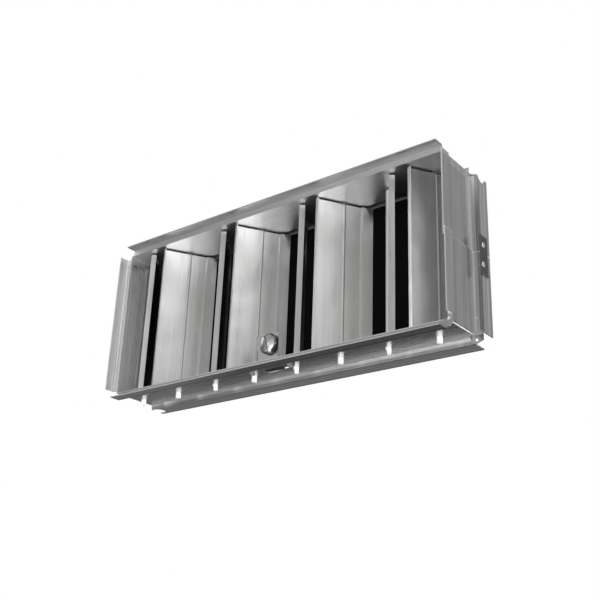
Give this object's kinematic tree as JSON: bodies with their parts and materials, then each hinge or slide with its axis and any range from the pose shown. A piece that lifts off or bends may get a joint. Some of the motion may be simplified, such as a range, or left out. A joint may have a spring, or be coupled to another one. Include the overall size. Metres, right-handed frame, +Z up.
{
  "type": "opposed blade damper",
  "caption": "Rectangular opposed blade damper: a folded aluminium frame with outward lips, upright blades that turn in opposite pairs, and a slotted operator at the front.",
  "frame": {"origin": "middle of the row of blade pins, on the underside of the bottom web", "axes": "+X along the row to the right as seen from the operator's side, +Y to the back in the direction of the air, +Z up along the pins"},
  "size_m": [0.3536, 0.066, 0.1493],
  "materials": {
    "mill_aluminium": "mill finish, bright",
    "blade_aluminium": "mill finish, bright, drawn lengthwise",
    "dark_aluminium": "dull",
    "rivet_aluminium": "satin",
    "zinc_steel": "zinc plated",
    "white_nylon": "natural nylon, smooth"
  },
  "bodies": {
    "frame": {"frame": "mill_aluminium", "splice_plate": "dark_aluminium", "splice_rivets": "rivet_aluminium", "bracket": "zinc_steel"},
    "operator": {"knob": "zinc_steel", "operator_washer": "zinc_steel", "operator_shaft": "zinc_steel", "lever": "zinc_steel"},
    "drive_link": {"drive_link": "zinc_steel"},
    "connecting_bar": {"connecting_bar": "zinc_steel"},
    "blade_1": {"blade_1": "blade_aluminium", "top_pivot_1": "white_nylon", "bottom_pivot_1": "white_nylon"},
    "blade_2": {"blade_2": "blade_aluminium", "top_pivot_2": "white_nylon", "bottom_pivot_2": "white_nylon"},
    "blade_3": {"blade_3": "blade_aluminium", "top_pivot_3": "white_nylon", "bottom_pivot_3": "white_nylon"},
    "blade_4": {"blade_4": "blade_aluminium", "top_pivot_4": "white_nylon", "bottom_pivot_4": "white_nylon"},
    "blade_5": {"blade_5": "blade_aluminium", "top_pivot_5": "white_nylon", "bottom_pivot_5": "white_nylon"},
    "blade_6": {"blade_6": "blade_aluminium", "top_pivot_6": "white_nylon", "bottom_pivot_6": "white_nylon"},
    "blade_7": {"blade_7": "blade_aluminium", "top_pivot_7": "white_nylon", "bottom_pivot_7": "white_nylon"},
    "blade_8": {"blade_8": "blade_aluminium", "top_pivot_8": "white_nylon", "bottom_pivot_8": "white_nylon"}
  },
  "joints": [
    {"name": "blade_1_turn", "type": "hinge", "parent": "frame", "child": "blade_1", "pos_m": [-0.15557, 0, 0.069], "axis": [0, 0, -1], "range_deg": [-58.5, 31.5]},
    {"name": "blade_2_turn", "type": "hinge", "parent": "frame", "child": "blade_2", "pos_m": [-0.11113, 0, 0.069], "axis": [0, 0, 1], "range_deg": [-58.5, 31.5]},
    {"name": "blade_3_turn", "type": "hinge", "parent": "frame", "child": "blade_3", "pos_m": [-0.06667, 0, 0.069], "axis": [0, 0, -1], "range_deg": [-58.5, 31.5]},
    {"name": "blade_4_turn", "type": "hinge", "parent": "frame", "child": "blade_4", "pos_m": [-0.02223, 0, 0.069], "axis": [0, 0, 1], "range_deg": [-58.5, 31.5]},
    {"name": "blade_5_turn", "type": "hinge", "parent": "frame", "child": "blade_5", "pos_m": [0.02223, 0, 0.069], "axis": [0, 0, -1], "range_deg": [-58.5, 31.5]},
    {"name": "blade_6_turn", "type": "hinge", "parent": "frame", "child": "blade_6", "pos_m": [0.06667, 0, 0.069], "axis": [0, 0, 1], "range_deg": [-58.5, 31.5]},
    {"name": "blade_7_turn", "type": "hinge", "parent": "frame", "child": "blade_7", "pos_m": [0.11113, 0, 0.069], "axis": [0, 0, -1], "range_deg": [-58.5, 31.5]},
    {"name": "blade_8_turn", "type": "hinge", "parent": "frame", "child": "blade_8", "pos_m": [0.15557, 0, 0.069], "axis": [0, 0, 1], "range_deg": [-58.5, 31.5]},
    {"name": "connecting_bar_slide", "type": "slide", "parent": "frame", "child": "connecting_bar", "axis": [1, 0, 0], "range_m": [-0.00472, 0.00254]},
    {"name": "drive_link_slide", "type": "slide", "parent": "frame", "child": "drive_link", "axis": [-1, 0, 0], "range_m": [-0.00708, 0.00382]},
    {"name": "operator_turn", "type": "hinge", "parent": "frame", "child": "operator", "pos_m": [0.006, -0.016, 0.0186], "axis": [0, 1, 0], "range_deg": [-35.2, 19]}
  ],
  "couplings": [
    {"joint": "blade_1_turn", "follows": "blade_5_turn", "ratio": 1},
    {"joint": "blade_2_turn", "follows": "blade_5_turn", "ratio": 1},
    {"joint": "blade_3_turn", "follows": "blade_5_turn", "ratio": 1},
    {"joint": "blade_4_turn", "follows": "blade_5_turn", "ratio": 1},
    {"joint": "blade_6_turn", "follows": "blade_5_turn", "ratio": 1},
    {"joint": "blade_7_turn", "follows": "blade_5_turn", "ratio": 1},
    {"joint": "blade_8_turn", "follows": "blade_5_turn", "ratio": 1},
    {"joint": "connecting_bar_slide", "follows": "blade_5_turn", "m_per_rad": 0.004625},
    {"joint": "drive_link_slide", "follows": "blade_5_turn", "m_per_rad": 0.0069375},
    {"joint": "operator_turn", "follows": "blade_5_turn", "ratio": 0.6}
  ]
}
